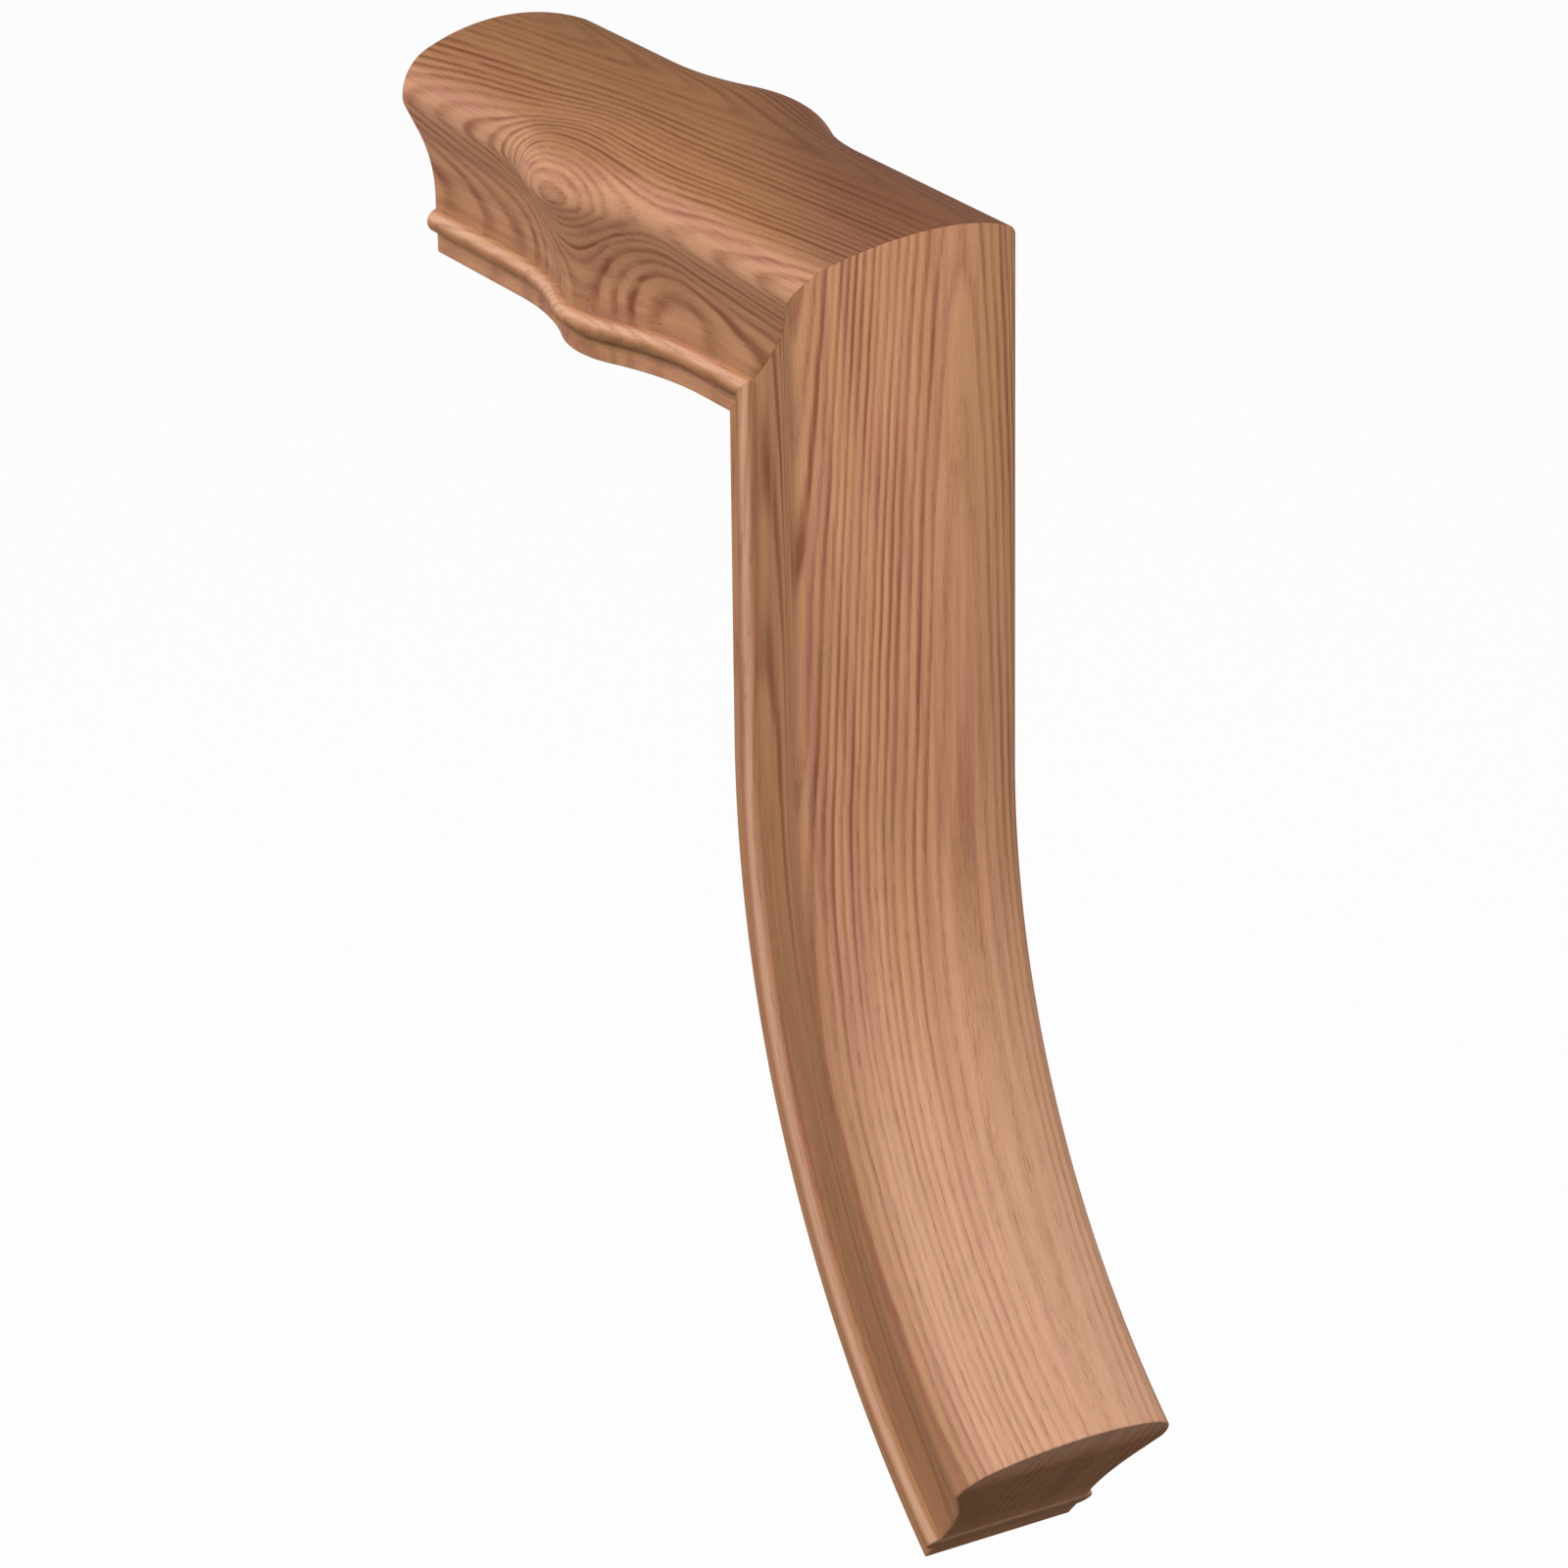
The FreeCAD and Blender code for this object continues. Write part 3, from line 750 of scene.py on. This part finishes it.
def drop_easing():
    """The drop's mesh: the section carried down from the mitre, then round the easing's arc to its sawn
    end. A place on it is (along, across, depth), with along counted down the drop and round the arc, where
    the point lies at EASING_RADIUS plus its depth from the arc's centre."""
    ring = rail_ring()
    count = len(ring)
    upright = ring * (1, -1)
    tip = inward(upright, GLUE_LINE) * (1, -1)
    back, eased = rounded_end(upright, END_ARRIS)
    eased = eased * (1, -1)
    share = np.linspace(0, 1, DROP_STATIONS)[:, None]
    top = ring[:, 1] + GLUE_LINE
    drop_along = top + share * (RAIL_HEIGHT + DROP_RUN - top)
    middle_radius = EASING_RADIUS + RAIL_HEIGHT / 2
    start = RAIL_HEIGHT + DROP_RUN
    finish = start + EASING_TURN * middle_radius
    arc_stations = np.linspace(start, finish - END_ARRIS, EASING_STATIONS)[1:]
    arc_along = np.repeat(arc_stations, count).reshape(-1, count)
    end_along = np.repeat(finish - back[-2::-1], count).reshape(-1, count)
    along = np.concatenate([tip[None, :, 1], drop_along, arc_along, end_along])
    plain = np.broadcast_to(ring, (len(drop_along) + len(arc_along), count, 2))
    section = np.concatenate([tip[None], plain, eased[-2::-1]])
    across, depth = section[:, :, 0], section[:, :, 1]
    turn = np.clip(along - start, 0, None) / middle_radius
    fall = np.clip(along, None, start)
    swing = EASING_RADIUS + depth
    x = DROP_CROWN + EASING_RADIUS - swing * np.cos(turn)
    z = RAIL_HEIGHT - fall - swing * np.sin(turn)
    points = np.stack([x, across, z], axis=2).reshape(-1, 3)
    grain = np.stack([along, across, depth], axis=2).reshape(-1, 3)

    quads, around = tube_faces(len(along), count)
    around_length = girth(ring)
    tube_flat = np.stack([around_length[around], grain[quads][:, :, 0]], axis=-1)
    mitre = end_faces(0, count, True)
    rake_end = end_faces((len(along) - 1) * count, count, False)
    wide = around_length[-1] + 2 * SHEET_EDGE
    groups = [
        (quads, tube_flat, (0.0, 0.0), LONG_GRAIN),
        (mitre, grain[mitre][:, :, 1:] * (1, math.sqrt(2)), (wide, 0.0), MITRE_GRAIN),
        (rake_end, grain[rake_end][:, :, 1:], (wide, RAKE_ROW), END_GRAIN),
    ]
    return write_piece("drop_easing_oak", points, grain, groups, red_oak("red_oak_drop", DROP_PLANK))


drop = drop_easing()
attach(drop, "root")
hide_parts("drop_easing")

# Studio
# A plain matt floor that shows white, well below the fitting that its newel would hold up, an even white
# surround, and three square soft lamps: above the near side, in front of the drop and behind it.
FLOOR_DROP = 0.50        # from the fitting's lowest point, in metres as all of the studio
FLOOR_HALF = 6.0
FLOOR_PAINT = (0.62, 0.62, 0.62)
FLOOR_GLOW = 0.97        # share of the floor that looks plain white, the rest takes light and shadow
WHITE = (1.0, 1.0, 1.0)
SURROUND_LIGHT = 0.24
LAMP_DISTANCE = 1.6
LAMP_SIZE = 0.7
VIEW_TARGET = np.array([0.0496, 0.0, -0.1169])    # near the fitting's middle
floor_level = cad_box[0][2] - FLOOR_DROP
floor_corners = [(-FLOOR_HALF, -FLOOR_HALF, floor_level), (FLOOR_HALF, -FLOOR_HALF, floor_level),
                 (FLOOR_HALF, FLOOR_HALF, floor_level), (-FLOOR_HALF, FLOOR_HALF, floor_level)]
floor_mesh = bpy.data.meshes.new("studio_floor")
floor_mesh.from_pydata(floor_corners, [], [(0, 1, 2, 3)])
floor = bpy.data.objects.new("studio_floor", floor_mesh)
bpy.context.collection.objects.link(floor)


def seen_ray(tree):
    """1 for a ray that shows the background, straight, in a reflection or through glass, and 0 for its
    light."""
    rays = node(tree, "LightPath", {}, {}).outputs
    seen = reckon(tree, "MAXIMUM", rays["Is Camera Ray"], rays["Is Glossy Ray"])
    return reckon(tree, "MAXIMUM", seen, rays["Is Transmission Ray"])


def floor_white():
    """Matt pale grey paint that looks almost white to the camera and still takes a faint shadow."""
    material, tree = bare_material("floor_white")
    paint = node(tree, "BsdfDiffuse", {}, {"Color": opaque(FLOOR_PAINT)}).outputs[0]
    white = node(tree, "Emission", {}, {"Color": opaque(WHITE), "Strength": 1.0}).outputs[0]
    share = product(tree, seen_ray(tree), FLOOR_GLOW)
    surface = node(tree, "MixShader", {}, {0: share, 1: paint, 2: white}).outputs[0]
    node(tree, "OutputMaterial", {}, {"Surface": surface})
    return material


def soft_lamp(name, direction, power):
    """A square soft lamp that faces the middle of the fitting from a direction."""
    light = bpy.data.lights.new(name, "AREA")
    light.size = LAMP_SIZE
    light.energy = power
    lamp = bpy.data.objects.new(name, light)
    bpy.context.collection.objects.link(lamp)
    away = np.array(direction) / np.linalg.norm(direction)
    lamp.location = VIEW_TARGET + LAMP_DISTANCE * away
    lamp.rotation_euler = Vector(away).to_track_quat("Z", "Y").to_euler()


floor_mesh.materials.append(floor_white())
world = bpy.data.worlds.new("studio")
bpy.context.scene.world = world
world.use_nodes = True
sky = world.node_tree
sky.nodes.clear()
sky_level = ramp(sky, seen_ray(sky), 0.0, 1.0, start=SURROUND_LIGHT, end=1.0)
sky_glow = node(sky, "Background", {}, {"Color": opaque(WHITE), "Strength": sky_level}).outputs[0]
node(sky, "OutputWorld", {}, {"Surface": sky_glow})
soft_lamp("key_lamp", direction=(0.45, -0.50, 0.74), power=22.5)
soft_lamp("front_lamp", direction=(0.75, 0.45, 0.40), power=9.5)
soft_lamp("edge_lamp", direction=(-0.78, -0.49, 0.26), power=12.0)

# Camera
# A long lens about two metres off, above the level rail and a little to the near side of the drop.
# Its angles, roll, distance and focal length come from matching the outline to the photograph.
VIEW_AZIMUTH = math.radians(-31.722)
VIEW_ELEVATION = math.radians(22.808)
VIEW_ROLL = math.radians(-0.66)
VIEW_DISTANCE = 2.1707
VIEW_LENS = 182.37       # millimetres
VIEW_REACH = 50.0        # how far the camera sees
toward = np.array([math.cos(VIEW_ELEVATION) * math.cos(VIEW_AZIMUTH),
                   math.cos(VIEW_ELEVATION) * math.sin(VIEW_AZIMUTH), math.sin(VIEW_ELEVATION)])
right = np.array([-math.sin(VIEW_AZIMUTH), math.cos(VIEW_AZIMUTH), 0.0])
up = np.cross(toward, right)
rolled_right = right * math.cos(VIEW_ROLL) + up * math.sin(VIEW_ROLL)
rolled_up = up * math.cos(VIEW_ROLL) - right * math.sin(VIEW_ROLL)
lens = bpy.data.cameras.new("photo_camera")
lens.lens = VIEW_LENS
lens.clip_end = VIEW_REACH
camera = bpy.data.objects.new("photo_camera", lens)
bpy.context.collection.objects.link(camera)
stand = np.eye(4)
stand[:3, :3] = np.stack([rolled_right, rolled_up, toward], axis=1)
stand[:3, 3] = VIEW_TARGET + VIEW_DISTANCE * toward
camera.matrix_world = Matrix(stand.tolist())
bpy.context.scene.camera = camera
bpy.context.scene.view_settings.view_transform = "Standard"
